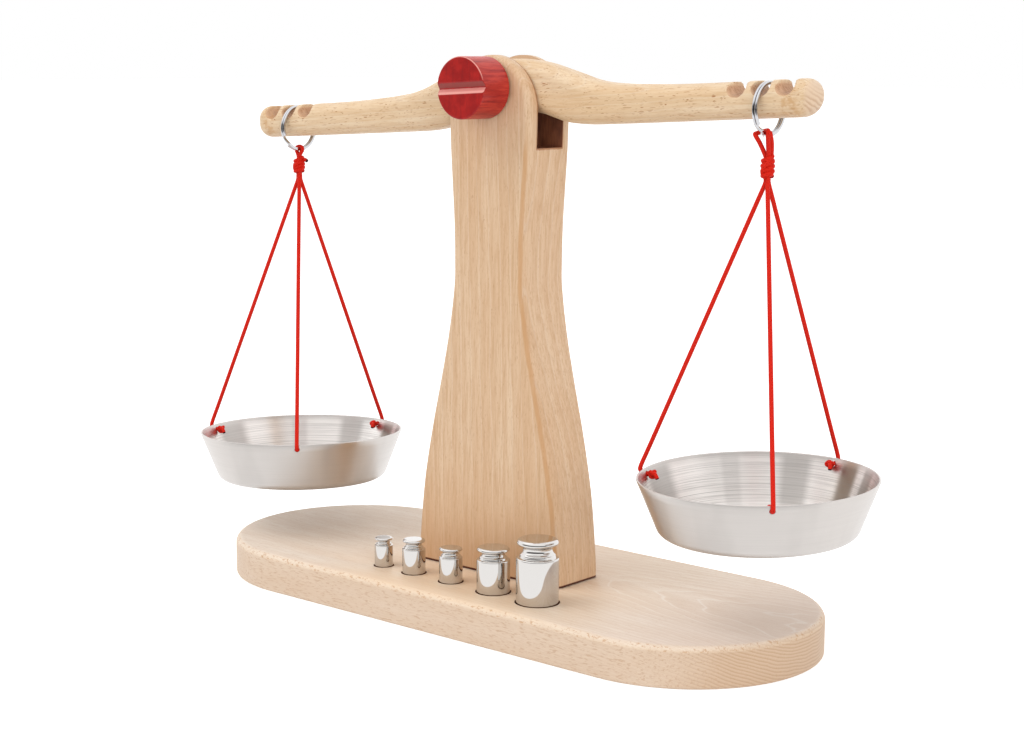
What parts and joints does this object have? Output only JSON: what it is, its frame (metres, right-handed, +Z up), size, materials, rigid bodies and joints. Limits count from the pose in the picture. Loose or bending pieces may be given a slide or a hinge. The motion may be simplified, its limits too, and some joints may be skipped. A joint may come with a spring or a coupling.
{
  "type": "toy balance scale",
  "caption": "Wooden toy balance scale: a tapered pillar on a round-ended board holds a rocking beam, with steel pans hung on red cords and steel weights standing in sockets.",
  "frame": {"origin": "middle of the base board's underside, on the surface it stands on", "axes": "+X along the base board and the beam, towards the 50 g weight; +Y away from the knob, towards the back; +Z up"},
  "size_m": [0.3518, 0.114, 0.237],
  "materials": {
    "beech_board": "satin",
    "beech_pillar": "satin",
    "beech_beam": "satin",
    "beech_dowel": "satin",
    "red_wood": "satin",
    "screw_steel": "satin",
    "ring_steel": "polished",
    "red_cord": "woven",
    "pan_steel": "brushed round the axis",
    "weight_steel": "polished"
  },
  "bodies": {
    "stand": {"base_board": "beech_board", "pillar": "beech_pillar", "pillar_screws": "screw_steel"},
    "beam": {"beam": "beech_beam"},
    "knob": {"turning_knob": "red_wood", "axle_dowel": "beech_dowel"},
    "ring_left": {"ring_left": "ring_steel"},
    "hanger_left": {"hanging_knot_left": "red_cord"},
    "pan_left": {"cord_left_front": "red_cord", "cord_left_outer": "red_cord", "cord_left_back": "red_cord", "stop_knots_left": "red_cord", "pan_left": "pan_steel"},
    "ring_right": {"ring_right": "ring_steel"},
    "hanger_right": {"hanging_knot_right": "red_cord"},
    "pan_right": {"cord_right_front": "red_cord", "cord_right_inner": "red_cord", "cord_right_back": "red_cord", "stop_knots_right": "red_cord", "pan_right": "pan_steel"},
    "weight_50g": {"weight_50g": "weight_steel"},
    "weight_20g": {"weight_20g": "weight_steel"},
    "weight_10g_inner": {"weight_10g_inner": "weight_steel"},
    "weight_10g_outer": {"weight_10g_outer": "weight_steel"},
    "weight_5g": {"weight_5g": "weight_steel"}
  },
  "joints": [
    {"name": "beam_tilt", "type": "hinge", "parent": "stand", "child": "beam", "pos_m": [0, -0.0026, 0.2236], "axis": [0, 1, 0], "range_deg": [-6.7, 13.3]},
    {"name": "knob_turn", "type": "hinge", "parent": "beam", "child": "knob", "pos_m": [0, -0.0026, 0.2236], "axis": [0, 1, 0], "continuous": true},
    {"name": "ring_left_hang", "type": "hinge", "parent": "beam", "child": "ring_left", "pos_m": [-0.12788, -0.0026, 0.20741], "axis": [0, 1, 0], "range_deg": [-14, 7.5]},
    {"name": "hanger_left_swing", "type": "hinge", "parent": "ring_left", "child": "hanger_left", "pos_m": [-0.12788, -0.0026, 0.19256], "axis": [0, 1, 0], "range_deg": [-8, 8]},
    {"name": "pan_left_swing", "type": "hinge", "parent": "hanger_left", "child": "pan_left", "pos_m": [-0.12788, -0.0026, 0.18224], "axis": [1, 0, 0], "range_deg": [-8, 8]},
    {"name": "ring_right_hang", "type": "hinge", "parent": "beam", "child": "ring_right", "pos_m": [0.12889, -0.0026, 0.22222], "axis": [0, 1, 0], "range_deg": [-14, 7.5]},
    {"name": "hanger_right_swing", "type": "hinge", "parent": "ring_right", "child": "hanger_right", "pos_m": [0.12889, -0.0026, 0.20737], "axis": [0, 1, 0], "range_deg": [-8, 8]},
    {"name": "pan_right_swing", "type": "hinge", "parent": "hanger_right", "child": "pan_right", "pos_m": [0.12889, -0.0026, 0.19284], "axis": [1, 0, 0], "range_deg": [-8, 8]},
    {"name": "weight_50g_lift", "type": "slide", "parent": "stand", "child": "weight_50g", "axis": [0, 0, 1], "range_m": [0, 0.04]},
    {"name": "weight_20g_lift", "type": "slide", "parent": "stand", "child": "weight_20g", "axis": [0, 0, 1], "range_m": [0, 0.04]},
    {"name": "weight_10g_inner_lift", "type": "slide", "parent": "stand", "child": "weight_10g_inner", "axis": [0, 0, 1], "range_m": [0, 0.04]},
    {"name": "weight_10g_outer_lift", "type": "slide", "parent": "stand", "child": "weight_10g_outer", "axis": [0, 0, 1], "range_m": [0, 0.04]},
    {"name": "weight_5g_lift", "type": "slide", "parent": "stand", "child": "weight_5g", "axis": [0, 0, 1], "range_m": [0, 0.04]}
  ],
  "couplings": [
    {"joint": "ring_left_hang", "follows": "beam_tilt", "ratio": -1},
    {"joint": "ring_right_hang", "follows": "beam_tilt", "ratio": -1}
  ]
}
